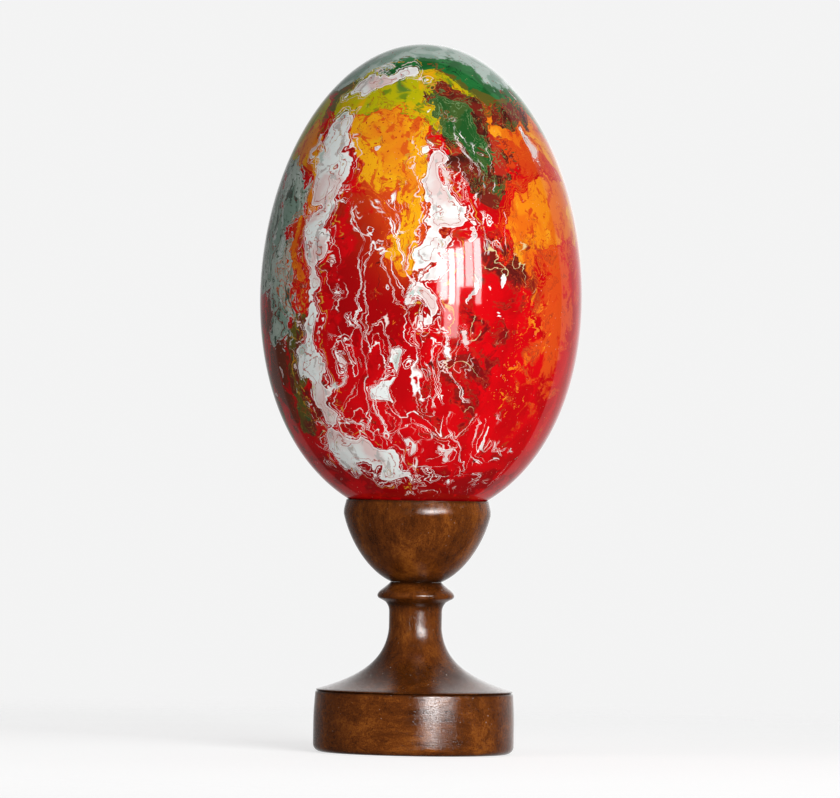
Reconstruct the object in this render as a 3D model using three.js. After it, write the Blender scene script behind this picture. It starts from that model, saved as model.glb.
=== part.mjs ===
// A turned, marbled wooden egg standing upright on a turned wooden stand.
// Millimetres, +Z up. The origin is on the table, on the axis, under the stand.
// The stand is three turnings (base, pedestal, cup) held by round tenons.
// A loose peg in the cup carries the egg, so the egg turns and lifts off.
import * as THREE from 'three';

// ---- driving dimensions -------------------------------------------------

// base: a plain drum, lightly hollowed underneath so that it stands on a ring
const BASE_HEIGHT = 15.0;
const BASE_LOW_R = 24.9;
const BASE_TOP_R = 24.5;
const BASE_TAPER_START_Z = 9.0;
const BASE_FOOT_ROUND_R = 2.0;
const BASE_ARRIS_R = 0.25;
const BASE_HOLLOW_R = 14.0;
const BASE_HOLLOW_SLOPE = 1.2;
const BASE_HOLLOW_DEPTH = 0.6;
const MORTISE_FLOOR_Z = 5.5;

// pedestal: foot tenon, flared foot, straight neck, collar, top tenon
const SEAM_GAP = 0.3;
const FOOT_TENON_R = 8.0;
const FOOT_TENON_END_Z = 6.0;
const FLARE_EDGE_R = 24.4;
const FLARE_EDGE_HEIGHT = 0.3;
const FLARE_START_R = 24.0;
const NECK_R = 6.56;
const NECK_LOW_Z = 30.8;
const NECK_HIGH_Z = 34.8;
const FLARE_PULL_LOW = [11.78, 19.09];
const FLARE_PULL_HIGH = [7.2, 23.9];
const COVE_TOP_R = 7.5;
const COVE_TOP_Z = 37.3;
const COLLAR_LOW_Z = 38.3;
const COLLAR_EDGE_R = 9.3;
const COLLAR_R = 9.54;
const COLLAR_WIDE_Z = 38.9;
const COLLAR_PULL_LOW = [9.45, 40.1];
const COLLAR_PULL_HIGH = [7.6, 40.8];
const GROOVE_R = 6.3;
const GROOVE_Z = 42.0;
const TOP_TENON_R = 4.0;
const TOP_TENON_END_Z = 48.0;

// cup: a thin-lipped bowl drilled right through for the tenon and the peg
const CUP_R = 18.2;
const CUP_WIDE_Z = 58.9;
const CUP_PULL_HIGH = [16.7, 52.3];
const CUP_PULL_LOW = [12.1, 44.9];
const RIM_Z = 62.5;
const RIM_OUTER_R = 17.62;
const SEAT_GAP_RIM = 0.3;
const SEAT_GAP_FLOOR = 1.5;

// round joints: sliding clearance for the peg, glue gap for the tenons
const GLUE_GAP = 0.15;
const PEG_CLEARANCE = 0.2;
const TENON_CHAMFER = 0.6;

// peg: a loose hardwood dowel
const PEG_R = 4.0;
const PEG_LOW_Z = 48.5;
const PEG_HIGH_Z = 76.0;
const PEG_CHAMFER = 0.8;

// egg: radius = EGG_R * sqrt(1 - t*t) * (1 + EGG_SKEW*t + EGG_FULL*t*t),
// where t runs from -1 at the blunt end to +1 at the narrow end
const EGG_R = 39.8;
const EGG_HALF_LENGTH = 58.95;
const EGG_CENTRE_Z = 116.65;
const EGG_SKEW = -0.070;
const EGG_FULL = 0.024;
const EGG_BORE_END_Z = 78.0;
const EGG_BORE_CONE = 2.0;

// facets
const EGG_SEGMENTS = 56;
const STAND_SEGMENTS = 48;
const PEG_SEGMENTS = 24;
const EGG_ROWS = 34;
const CURVE_STEPS = 9;

// finishes
const WALNUT = { color: 0x6b3f22, roughness: 0.28, metalness: 0.0 };
const BARE_BIRCH = { color: 0xd9b98a, roughness: 0.7, metalness: 0.0 };
const MARBLED_RED = { color: 0xb8101a, roughness: 0.12, metalness: 0.0 };

// ---- geometry helpers ---------------------------------------------------

// a turned solid: the [radius, height] outline starts and ends on the axis or
// closes on itself, and is spun about +Z
function turned(outline, segments) {
  const points = outline.map(([r, z]) => new THREE.Vector2(r, z));
  const geometry = new THREE.LatheGeometry(points, segments);
  geometry.rotateX(Math.PI / 2);
  return geometry;
}

// points along a cubic curve, without its first point
function cubic(start, pullStart, pullEnd, end, steps) {
  const vector = ([r, z]) => new THREE.Vector2(r, z);
  const curve = new THREE.CubicBezierCurve(
    vector(start), vector(pullStart), vector(pullEnd), vector(end));
  return curve.getPoints(steps).slice(1).map((p) => [p.x, p.y]);
}

// points along a quarter round, without its first point
function quarterRound(centreR, centreZ, radius, fromAngle, toAngle, steps) {
  const points = [];
  for (let i = 1; i <= steps; i += 1) {
    const angle = fromAngle + ((toAngle - fromAngle) * i) / steps;
    points.push([centreR + radius * Math.cos(angle), centreZ + radius * Math.sin(angle)]);
  }
  return points;
}

function eggRadius(t) {
  const round = Math.sqrt(Math.max(0, 1 - t * t));
  return EGG_R * round * (1 + EGG_SKEW * t + EGG_FULL * t * t);
}

function eggPoint(angle) {
  const t = -Math.cos(angle);
  return [eggRadius(t), EGG_CENTRE_Z + EGG_HALF_LENGTH * t];
}

// a point standing off the egg's surface along its normal
function offEgg(angle, distance) {
  const step = 1e-4;
  const [r0, z0] = eggPoint(angle - step);
  const [r1, z1] = eggPoint(angle + step);
  const length = Math.hypot(r1 - r0, z1 - z0);
  const [r, z] = eggPoint(angle);
  return [r + (distance * (z1 - z0)) / length, z - (distance * (r1 - r0)) / length];
}

// the angle at which a rising quantity reaches its target
function solve(quantity, target, low, high) {
  for (let i = 0; i < 60; i += 1) {
    const middle = (low + high) / 2;
    if (quantity(middle) < target) low = middle;
    else high = middle;
  }
  return (low + high) / 2;
}

// ---- sub-parts ----------------------------------------------------------

function baseOutline() {
  return [
    [0, BASE_HOLLOW_DEPTH],
    [BASE_HOLLOW_R, BASE_HOLLOW_DEPTH],
    [BASE_HOLLOW_R + BASE_HOLLOW_SLOPE, 0],
    [BASE_LOW_R - BASE_FOOT_ROUND_R, 0],
    ...quarterRound(BASE_LOW_R - BASE_FOOT_ROUND_R, BASE_FOOT_ROUND_R,
      BASE_FOOT_ROUND_R, -Math.PI / 2, 0, 4),
    [BASE_LOW_R, BASE_TAPER_START_Z],
    [BASE_TOP_R, BASE_HEIGHT - BASE_ARRIS_R],
    [BASE_TOP_R - BASE_ARRIS_R, BASE_HEIGHT],
    [FOOT_TENON_R + GLUE_GAP, BASE_HEIGHT],
    [FOOT_TENON_R + GLUE_GAP, MORTISE_FLOOR_Z],
    [0, MORTISE_FLOOR_Z],
  ];
}

function pedestalOutline() {
  const flareZ = BASE_HEIGHT + SEAM_GAP;
  const flareStart = [FLARE_START_R, flareZ + FLARE_EDGE_HEIGHT];
  const neckLow = [NECK_R, NECK_LOW_Z];
  const neckHigh = [NECK_R, NECK_HIGH_Z];
  const coveTop = [COVE_TOP_R, COVE_TOP_Z];
  const collarWide = [COLLAR_R, COLLAR_WIDE_Z];
  return [
    [0, FOOT_TENON_END_Z],
    [FOOT_TENON_R - TENON_CHAMFER, FOOT_TENON_END_Z],
    [FOOT_TENON_R, FOOT_TENON_END_Z + TENON_CHAMFER],
    [FOOT_TENON_R, flareZ],
    [FLARE_EDGE_R, flareZ],
    flareStart,
    ...cubic(flareStart, FLARE_PULL_LOW, FLARE_PULL_HIGH, neckLow, CURVE_STEPS),
    neckHigh,
    ...cubic(neckHigh, [NECK_R, NECK_HIGH_Z + 1.2], [COVE_TOP_R - 0.6, COVE_TOP_Z - 0.7], coveTop, 3),
    [COLLAR_EDGE_R, COLLAR_LOW_Z],
    collarWide,
    ...cubic(collarWide, COLLAR_PULL_LOW, COLLAR_PULL_HIGH, [GROOVE_R, GROOVE_Z], 5),
    [TOP_TENON_R, GROOVE_Z],
    [TOP_TENON_R, TOP_TENON_END_Z - TENON_CHAMFER],
    [TOP_TENON_R - TENON_CHAMFER, TOP_TENON_END_Z],
    [0, TOP_TENON_END_Z],
  ];
}

// the seat follows the egg: close at the rim, easing to a wider gap at the hole
function seatOutline(holeR) {
  const rimAngle = solve((a) => offEgg(a, SEAT_GAP_RIM)[1], RIM_Z, 0.05, 1.2);
  const holeAngle = solve((a) => offEgg(a, SEAT_GAP_FLOOR)[0], holeR, 0.0, rimAngle);
  const points = [];
  for (let i = 0; i <= CURVE_STEPS; i += 1) {
    const part = i / CURVE_STEPS;
    const gap = SEAT_GAP_RIM + (SEAT_GAP_FLOOR - SEAT_GAP_RIM) * part;
    points.push(offEgg(rimAngle + (holeAngle - rimAngle) * part, gap));
  }
  return points;
}

function cupOutline() {
  const holeR = PEG_R + PEG_CLEARANCE;
  const bottomZ = GROOVE_Z + SEAM_GAP;
  const widest = [CUP_R, CUP_WIDE_Z];
  return [
    [holeR, bottomZ],
    [GROOVE_R, bottomZ],
    ...cubic([GROOVE_R, bottomZ], CUP_PULL_LOW, CUP_PULL_HIGH, widest, CURVE_STEPS + 2),
    ...cubic(widest, [CUP_R + 0.12, CUP_WIDE_Z + 1.2], [RIM_OUTER_R + 0.22, RIM_Z - 1.1],
      [RIM_OUTER_R, RIM_Z - 0.1], 4),
    ...seatOutline(holeR),
    [holeR, bottomZ],
  ];
}

function pegOutline() {
  return [
    [0, PEG_LOW_Z],
    [PEG_R - PEG_CHAMFER, PEG_LOW_Z],
    [PEG_R, PEG_LOW_Z + PEG_CHAMFER],
    [PEG_R, PEG_HIGH_Z - PEG_CHAMFER],
    [PEG_R - PEG_CHAMFER, PEG_HIGH_Z],
    [0, PEG_HIGH_Z],
  ];
}

// a solid egg with a blind hole up its blunt end, ending in the drill's cone
function eggOutline() {
  const boreR = PEG_R + PEG_CLEARANCE;
  const mouthAngle = solve((a) => eggPoint(a)[0], boreR, 0.0, 1.0);
  const points = [
    [0, EGG_BORE_END_Z + EGG_BORE_CONE],
    [boreR, EGG_BORE_END_Z],
  ];
  for (let i = 0; i <= EGG_ROWS; i += 1) {
    points.push(eggPoint(mouthAngle + ((Math.PI - mouthAngle) * i) / EGG_ROWS));
  }
  points[points.length - 1][0] = 0;
  return points;
}

// ---- assembly -----------------------------------------------------------

function piece(name, outline, segments, finish) {
  const mesh = new THREE.Mesh(turned(outline, segments), new THREE.MeshStandardMaterial(finish));
  mesh.name = name;
  return mesh;
}

const part = new THREE.Group();
part.name = 'marbled_egg_on_stand';

const stand = new THREE.Group();
stand.add(piece('base', baseOutline(), STAND_SEGMENTS, WALNUT));
stand.add(piece('pedestal', pedestalOutline(), STAND_SEGMENTS, WALNUT));
stand.add(piece('cup', cupOutline(), STAND_SEGMENTS, WALNUT));
part.add(stand);

part.add(piece('egg_peg', pegOutline(), PEG_SEGMENTS, BARE_BIRCH));
part.add(piece('egg', eggOutline(), EGG_SEGMENTS, MARBLED_RED));

export default part;
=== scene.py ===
"""A marbled, lacquered wooden egg standing on a turned wooden stand.

Lengths are millimetres unless a name says otherwise, +Z is up, and the front faces -Y.
"""

import math
from itertools import product
from typing import NamedTuple

import bpy
import numpy as np
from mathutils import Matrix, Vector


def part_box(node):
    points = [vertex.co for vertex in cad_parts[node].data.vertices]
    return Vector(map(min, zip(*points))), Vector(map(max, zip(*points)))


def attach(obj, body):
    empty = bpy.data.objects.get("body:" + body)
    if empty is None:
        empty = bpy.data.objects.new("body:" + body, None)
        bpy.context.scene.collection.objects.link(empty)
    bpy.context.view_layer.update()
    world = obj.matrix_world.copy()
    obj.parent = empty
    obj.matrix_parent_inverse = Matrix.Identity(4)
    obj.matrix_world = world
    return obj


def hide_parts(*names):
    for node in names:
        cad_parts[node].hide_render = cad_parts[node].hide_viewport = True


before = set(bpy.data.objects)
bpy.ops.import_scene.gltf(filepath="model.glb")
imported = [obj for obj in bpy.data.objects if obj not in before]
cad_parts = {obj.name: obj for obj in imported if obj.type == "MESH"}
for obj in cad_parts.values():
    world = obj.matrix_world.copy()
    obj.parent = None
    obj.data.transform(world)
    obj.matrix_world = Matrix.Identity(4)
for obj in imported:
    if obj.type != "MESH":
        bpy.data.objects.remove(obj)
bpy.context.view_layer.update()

MM = 0.001

# ---- driving dimensions ----

# egg: radius, half height, how much fuller the blunt end is, how much both ends are
EGG_R = 39.8
EGG_HALF = 58.95
EGG_SKEW = -0.070
EGG_FULL = 0.024
EGG_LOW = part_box("egg")[0].z / MM
EGG_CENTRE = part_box("egg")[1].z / MM - EGG_HALF
EGG_TOP = EGG_CENTRE + EGG_HALF
# bore in the blunt end, with a drilled cone at its end
BORE_R = 4.2
BORE_END = 78.0
BORE_CONE = 2.0
BORE_CHAMFER = 0.25

# peg
PEG_R = 4.0
PEG_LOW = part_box("egg_peg")[0].z / MM
PEG_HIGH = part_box("egg_peg")[1].z / MM
PEG_FLUTES = 20
FLUTE_DEPTH = 0.16

# cup
RIM_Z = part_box("cup")[1].z / MM
CUP_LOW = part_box("cup")[0].z / MM
CUP_WIDEST = [18.2, 58.9]
SEAT_GAP_RIM = 0.3
SEAT_GAP_HOLE = 1.5

# base
BASE_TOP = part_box("base")[1].z / MM
BASE_LOW_R = 24.9
BASE_TOP_R = 24.5
BASE_FOOT_ROUND = 2.0
BASE_ARRIS = 0.4
BASE_HOLLOW = 0.6
MORTISE_R = 8.15
MORTISE_FLOOR = 5.5

# pedestal
# the groove under the cup, and the foot's edge and underside over the drum
GROOVE_R = 6.3
GROOVE_Z = CUP_LOW - 0.04
FLARE_Z = BASE_TOP + 0.3
FOOT_Z = BASE_TOP + 0.02
COLLAR = [9.54, 38.9]
NECK_R = 6.56
FLARE_R = 24.0
FOOT_TENON_R = 8.0
TOP_TENON_R = 4.0
TENON_CHAMFER = 0.6
TENON_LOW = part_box("pedestal")[0].z / MM
TENON_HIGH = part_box("pedestal")[1].z / MM

TURNED_STEPS = 112
SHARP_ANGLE = math.radians(35)
SEED = 11

# ---- turned shapes ----


def egg_radius(t):
    """Radius at t, which runs from -1 at the blunt end to 1 at the narrow end."""
    return EGG_R * np.sqrt(np.maximum(0.0, 1 - t * t)) * (1 + EGG_SKEW * t + EGG_FULL * t * t)


def egg_radius_at(z):
    return egg_radius(np.clip((z - EGG_CENTRE) / EGG_HALF, -1, 1))


def egg_profile(angle):
    t = -np.cos(angle)
    return egg_radius(t), EGG_CENTRE + EGG_HALF * t


def off_egg(angle, distance):
    """A point standing off the egg along its normal."""
    r0, z0 = egg_profile(angle - 1e-4)
    r1, z1 = egg_profile(angle + 1e-4)
    length = math.hypot(r1 - r0, z1 - z0)
    r, z = egg_profile(angle)
    return [float(r + distance * (z1 - z0) / length), float(z - distance * (r1 - r0) / length)]


def solve(quantity, target, low, high):
    for _ in range(50):
        middle = (low + high) / 2
        if quantity(middle) < target:
            low = middle
        else:
            high = middle
    return (low + high) / 2


def cubic(p0, p1, p2, p3, steps):
    """Points along a cubic curve, without its first point."""
    p0, p1, p2, p3 = (np.array(p, float) for p in (p0, p1, p2, p3))
    out = []
    for i in range(1, steps + 1):
        t = i / steps
        s = 1 - t
        out.append((s**3 * p0 + 3 * s * s * t * p1 + 3 * s * t * t * p2 + t**3 * p3).tolist())
    return out


def arc(r, z, radius, start, end, steps):
    """Points along a round of the outline, without its first point (degrees)."""
    out = []
    for i in range(1, steps + 1):
        a = math.radians(start + (end - start) * i / steps)
        out.append([r + radius * math.cos(a), z + radius * math.sin(a)])
    return out


# ---- mesh making ----


def mesh_object(name, verts, faces, materials, face_material=None):
    mesh = bpy.data.meshes.new(name)
    mesh.from_pydata((np.asarray(verts) * MM).tolist(), [], faces)
    for material in materials:
        mesh.materials.append(material)
    if face_material is not None:
        mesh.polygons.foreach_set("material_index", np.asarray(face_material, np.int32))
    mesh.polygons.foreach_set("use_smooth", np.ones(len(mesh.polygons), bool))
    mesh.update()
    mesh.set_sharp_from_angle(angle=SHARP_ANGLE)
    obj = bpy.data.objects.new(name, mesh)
    bpy.context.scene.collection.objects.link(obj)
    return obj


def spun(name, outline, angles, materials, zone=None, closed=False, ripple=None):
    """Spins an outline of [radius, height] about Z. It starts and ends on the axis,
    or closes on itself. zone gives each outline step's material number."""
    count = len(angles)
    verts = []
    rings = []
    for r, z in outline:
        if r < 1e-6:
            rings.append([len(verts)])
            verts.append((0.0, 0.0, z))
            continue
        rings.append(list(range(len(verts), len(verts) + count)))
        for a in angles:
            reach = r if ripple is None else r + ripple(a, r)
            verts.append((reach * math.sin(a), -reach * math.cos(a), z))
    faces = []
    numbers = []
    steps = len(rings) if closed else len(rings) - 1
    for k in range(steps):
        low = rings[k]
        high = rings[(k + 1) % len(rings)]
        for i in range(count):
            j = (i + 1) % count
            if len(low) == 1:
                faces.append((low[0], high[j], high[i]))
            elif len(high) == 1:
                faces.append((low[i], low[j], high[0]))
            else:
                faces.append((low[i], low[j], high[j], high[i]))
            numbers.append(0 if zone is None else zone[k])
    return mesh_object(name, verts, faces, materials, numbers)


# ---- node helpers ----


class Nodes:
    """Short names for the shader nodes that the materials are made of."""

    def __init__(self, tree):
        self.tree = tree
        self.cache = {}

    def new(self, kind, inputs=(), **props):
        node = self.tree.nodes.new(kind)
        for key, value in props.items():
            setattr(node, key, value)
        for key, value in dict(inputs).items():
            self.put(node.inputs[key], value)
        return node

    def put(self, socket, value):
        if isinstance(value, bpy.types.NodeSocket):
            self.tree.links.new(value, socket)
        elif socket.type == "RGBA" and len(value) == 3:
            socket.default_value = (*value, 1.0)
        else:
            socket.default_value = value

    def math(self, operation, a, b=0.0, c=0.0):
        return self.new("ShaderNodeMath", {0: a, 1: b, 2: c}, operation=operation).outputs[0]

    def vector(self, operation, a, b=(0, 0, 0), scale=None):
        node = self.new("ShaderNodeVectorMath", {0: a, 1: b}, operation=operation)
        if scale is not None:
            self.put(node.inputs["Scale"], scale)
        return node.outputs[0]

    def length(self, a):
        return self.new("ShaderNodeVectorMath", {0: a}, operation="LENGTH").outputs["Value"]

    def axis(self, a, number):
        return self.new("ShaderNodeSeparateXYZ", {0: a}).outputs[number]

    def mix(self, fac, a, b):
        node = self.new("ShaderNodeMix", data_type="RGBA")
        self.put(node.inputs[0], fac)
        self.put(node.inputs[6], a)
        self.put(node.inputs[7], b)
        return node.outputs[2]

    def step(self, value, low, high, to_low=0.0, to_high=1.0):
        node = self.new(
            "ShaderNodeMapRange",
            {0: value, 1: low, 2: high, 3: to_low, 4: to_high},
            interpolation_type="SMOOTHSTEP",
        )
        return node.outputs[0]

    def noise(self, vector, scale, detail=2.0, rough=0.5, warp=0.0, colour=False):
        node = self.new(
            "ShaderNodeTexNoise",
            {"Vector": vector, "Scale": scale, "Detail": detail, "Roughness": rough, "Distortion": warp},
        )
        return node.outputs[1 if colour else 0]

    def attribute(self, name, output="Fac"):
        key = (name, output)
        if key not in self.cache:
            node = self.new("ShaderNodeAttribute", attribute_name=name)
            self.cache[key] = node.outputs[output]
        return self.cache[key]

    def bump(self, height, distance, strength):
        inputs = {"Height": height, "Strength": strength, "Distance": distance}
        return self.new("ShaderNodeBump", inputs).outputs[0]

    def millimetres(self):
        """The piece's own coordinates, in millimetres."""
        if "mm" not in self.cache:
            own = self.new("ShaderNodeTexCoord").outputs["Object"]
            self.cache["mm"] = self.vector("SCALE", own, scale=1 / MM)
        return self.cache["mm"]


def material(name):
    made = bpy.data.materials.new(name)
    made.use_nodes = True
    made.node_tree.nodes.clear()
    nodes = Nodes(made.node_tree)
    shader = nodes.new("ShaderNodeBsdfPrincipled")
    nodes.new("ShaderNodeOutputMaterial", {"Surface": shader.outputs[0]})
    return made, nodes, shader


def coat(shader, weight, roughness, ior, specular):
    """A clear coat; specular is the sheen of the bare surface under it."""
    shader.inputs["Coat Weight"].default_value = weight
    shader.inputs["Coat Roughness"].default_value = roughness
    shader.inputs["Coat IOR"].default_value = ior
    shader.inputs["Specular IOR Level"].default_value = specular


# ---- wood ----



class Tones(NamedTuple):
    dark: tuple
    mid: tuple
    light: tuple
    pore: tuple


STAINED = Tones(
    dark=(0.042, 0.0100, 0.0016),
    mid=(0.118, 0.029, 0.0038),
    light=(0.270, 0.078, 0.0100),
    pore=(0.016, 0.0045, 0.0012),
)
BIRCH = Tones(
    dark=(0.42, 0.25, 0.115),
    mid=(0.60, 0.40, 0.21),
    light=(0.72, 0.53, 0.31),
    pore=(0.25, 0.13, 0.055),
)
DUST = (0.62, 0.58, 0.52)
# how fast the figure changes along each axis
UPRIGHT = (1.0, 1.0, 0.26)
LEVEL = (0.20, 1.0, 1.0)
# where in the figure the cup and the base are cut from
CUP_GRAIN = (41, 17, 60)
BASE_GRAIN = (13, 57, 23)
# painted shade: bands darkened towards the pore tone at the joints and grooves, under the collar, over the
# flare, at the cup's rim and bottom and at the base's foot: height, reach, strength
PEDESTAL_SHADE_BANDS = ((BASE_TOP, 1.0, 0.7), (20.0, 6.5, 0.45), (36.9, 1.7, 0.75), (GROOVE_Z, 1.2, 0.8))
CUP_SHADE_BANDS = ((CUP_LOW, 2.6, 0.75), (RIM_Z, 0.9, 0.6))
BASE_SHADE_BANDS = ((BASE_TOP, 0.8, 0.6), (0.0, 1.2, 0.5))


class Wood:
    """The fields of close-grained hardwood, from broad clouds down to fibres and pores."""

    def __init__(self, nodes, offset, grain):
        n = nodes
        self.n = nodes
        place = n.vector("ADD", n.millimetres(), offset)
        slow = n.vector("MULTIPLY", place, (0.05, 0.05, 0.05))
        sway = n.vector("SUBTRACT", n.noise(slow, 1.0, 2, 0.5, colour=True), (0.5, 0.5, 0.5))
        place = n.vector("ADD", place, n.vector("SCALE", sway, scale=6.0))
        along = n.vector("MULTIPLY", place, grain)
        self.cloud = n.noise(n.vector("ADD", place, (3, 8, 1)), 0.11, 3, 0.55)
        self.figure = n.noise(along, 0.34, 3, 0.55, 0.3)
        self.streak = n.noise(n.vector("ADD", along, (5, 1, 9)), 1.5, 4, 0.62)
        self.fibre = n.noise(n.vector("ADD", along, (2, 7, 4)), 5.5, 3, 0.6)
        self.mottle = n.noise(place, 3.4, 3, 0.65)
        self.pores = n.step(n.noise(n.vector("ADD", along, (7, 7, 7)), 4.0, 2, 0.5), 0.60, 0.70)

    def colour(self, tones, shade_bands):
        """The wood's tones, its growth lines and pores, and bands of painted shade."""
        n = self.n
        tone = n.math("MULTIPLY_ADD", self.cloud, 0.42, n.math("MULTIPLY", self.figure, 0.30))
        tone = n.math("MULTIPLY_ADD", self.streak, 0.28, tone)
        tone = n.math("MULTIPLY_ADD", self.mottle, 0.36, tone)
        tone = n.math("MULTIPLY_ADD", self.fibre, 0.16, tone)
        colour = n.mix(n.step(tone, 0.58, 0.78), tones.dark, tones.mid)
        colour = n.mix(n.step(tone, 0.74, 0.94), colour, tones.light)
        from_line = n.math("ABSOLUTE", n.math("SUBTRACT", self.figure, 0.40))
        line = n.math("MULTIPLY", n.step(from_line, 0.030, 0.004), n.step(self.cloud, 0.46, 0.56))
        colour = n.mix(n.math("MULTIPLY", line, 0.35), colour, tones.pore)
        colour = n.mix(n.math("MULTIPLY", self.pores, 0.60), colour, tones.pore)
        height = n.axis(n.millimetres(), 2)
        # painted shade: darker towards the pore tone near each listed height
        for level, reach, strength in shade_bands:
            gap = n.math("ABSOLUTE", n.math("SUBTRACT", height, level))
            colour = n.mix(n.step(gap, 0.0, reach, strength, 0.0), colour, tones.pore)
        return colour

    def dusted(self, colour, dust):
        """Specks of dust, most of them on faces that look up."""
        n = self.n
        specks = n.noise(n.millimetres(), 1.35, 1, 0.5)
        up = n.axis(n.new("ShaderNodeNewGeometry").outputs["Normal"], 2)
        settle = n.step(up, -0.15, 0.9, 0.35, 1.0)
        mask = n.math("MULTIPLY", n.step(specks, 0.765, 0.80), settle)
        return n.mix(n.math("MULTIPLY", mask, dust), colour, DUST)

    def relief(self, tool):
        """Height of the grain; tool adds rings left by the turning tool."""
        n = self.n
        height = n.math("MULTIPLY_ADD", self.streak, 0.6, n.math("MULTIPLY", self.fibre, 0.5))
        height = n.math("MULTIPLY_ADD", self.mottle, 0.8, height)
        height = n.math("MULTIPLY_ADD", self.pores, -0.5, height)
        if tool > 0:
            reach = n.length(n.vector("MULTIPLY", n.millimetres(), (1, 1, 0)))
            ring = n.math("MULTIPLY_ADD", reach, 7.5, n.math("MULTIPLY", self.cloud, 9.0))
            height = n.math("MULTIPLY_ADD", n.math("SINE", ring), tool, height)
        return height


def wood_material(name, tones, gloss, offset, grain=UPRIGHT, rough=0.42, dust=0.0, tool=0.0, shade_bands=()):
    """Hardwood under a clear coat; gloss is the coat's weight."""
    made, n, shader = material(name)
    wood = Wood(n, offset, grain)
    colour = wood.colour(tones, shade_bands)
    if dust > 0:
        colour = wood.dusted(colour, dust)
    n.put(shader.inputs["Base Color"], colour)
    n.put(shader.inputs["Roughness"], n.step(wood.streak, 0.3, 0.7, rough - 0.08, rough + 0.08))
    coat(shader, gloss, 0.045, 1.6, specular=0.0 if gloss > 0.5 else 0.35)
    relief = wood.relief(tool)
    n.put(shader.inputs["Normal"], n.bump(relief, 0.05 * MM, 0.8))
    n.put(shader.inputs["Coat Normal"], n.bump(relief, 0.044 * MM, 0.9))
    return made


# ---- marbling design ----
# A stroke is one broad pour of colour on the egg's front elevation: across (right is
# +), height and half width of its start, then of its end. Strokes say roughly where a
# colour lies and where the white ribbons run. Outlines, islands and veins come from
# the drifts and fields below.

STROKES = {
    "olive": ((-40, 114, 8, -34, 76, 9), (-31, 104, 3, -27, 80, 3)),
    "grey_green": ((-42, 160, 11, -38, 122, 10), (-34, 162, 7, -32, 138, 6), (-34, 122, 6, -35, 106, 4),
                   (42, 150, 5, 42, 135, 4), (-22, 167, 5, -8, 171, 4)),
    "yellow_green": ((-14, 162, 9, 2, 163, 9), (-30, 158, 9, -26, 148, 5)),
    "deep_green": ((-2, 171, 6, 20, 166, 8), (22, 161, 8, 36, 147, 7)),
    "gold": ((-10, 151, 8, -8, 141, 7), (-4, 142, 5, -4, 126, 4), (-27, 150, 6, -25, 141, 4)),
    "orange": ((24, 131, 7, 36, 134, 9), (17, 158, 5, 32, 148, 6), (-30, 132, 2, -30, 115, 2)),
    "maroon": ((8, 160, 7, 14, 148, 10), (16, 163, 4, 24, 157, 3)),
    "forest": ((6, 158, 5, 16, 148, 4),),
    "white": ((-20, 156, 1.5, -21, 147, 4), (-24, 143, 4, -21, 140, 3), (-22, 138, 2.5, -26, 120, 1.6),
              (-26, 118, 1.6, -27, 98, 2.5), (-27, 97, 4, -23, 86, 4), (0, 147, 2, 3, 133, 3.6),
              (2, 131, 2.4, 0, 106, 0.8), (-16, 75, 6, -8, 70, 5), (-2, 168, 2, -16, 165, 2)),
}
# distances to a stroke are kept within this margin
STROKE_MARGIN = 8.0

# the back repeats the front's strokes, carried well away from them (degrees)
BACK_FROM = 74.0
BACK_OVER = 40.0
# how far the line where the layout turns back sways (degrees), and over what height
FOLD_SWAY = 34.0
FOLD_CELL = 21.0
# drifts that carry the strokes away from their plain shapes: cell, reach, seed
DRIFTS = ((17.0, 3.6, 3), (9.0, 2.4, 5), (4.4, 1.3, 7), (2.2, 0.6, 9))
UP_MORE = 1.15
# combed ripples: fine cell, long cell, reach, seed
COMB = ((3.4, 9.0, 1.0, 21), (1.8, 6.0, 0.55, 23))

# how much the strokes swell and thin along their way, and over what cell
SWELL_REACH = 1.5
SWELL_CELL = (6.0, 6.0, 11.0)
BACK_SWELL = 5.0
BACK_SWELL_CELL = 15.0
# how much thinner they are on the left of the back
BACK_THIN = 3.5

# zones where islands, threads, flakes or smoke may appear: across, height, spread
# across, spread up, strength
ZONES = {
    "lace": ((-14, 72, 9, 7, 1.0), (3, 72, 7, 6, 0.7), (-24, 85, 6, 8, 0.8), (-15, 100, 5, 12, 0.75),
             (-4, 105, 6, 14, 0.7), (6, 95, 5, 10, 0.6), (15, 70, 5, 6, 0.6), (-28, 135, 5, 18, 0.8),
             (5, 145, 5, 7, 0.55), (28, 147, 5, 5, 0.7)),
    "threads": ((-8, 112, 8, 14, 1.0), (2, 92, 8, 12, 0.9), (-10, 84, 9, 9, 0.8), (12, 78, 8, 10, 0.7),
                (0, 70, 16, 5, 0.6), (-22, 125, 6, 14, 0.8), (14, 132, 7, 7, 0.7), (10, 148, 8, 8, 0.6)),
    "speckle": ((28, 110, 7, 9, 1.0), (24, 96, 5, 9, 0.8), (-5, 130, 6, 6, 0.7), (-6, 108, 5, 7, 0.5),
                (12, 128, 7, 4, 0.6)),
    "smoke": ((20, 120, 9, 6, 0.9), (10, 98, 7, 14, 0.62), (-24, 84, 7, 8, 0.6)),
}
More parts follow.
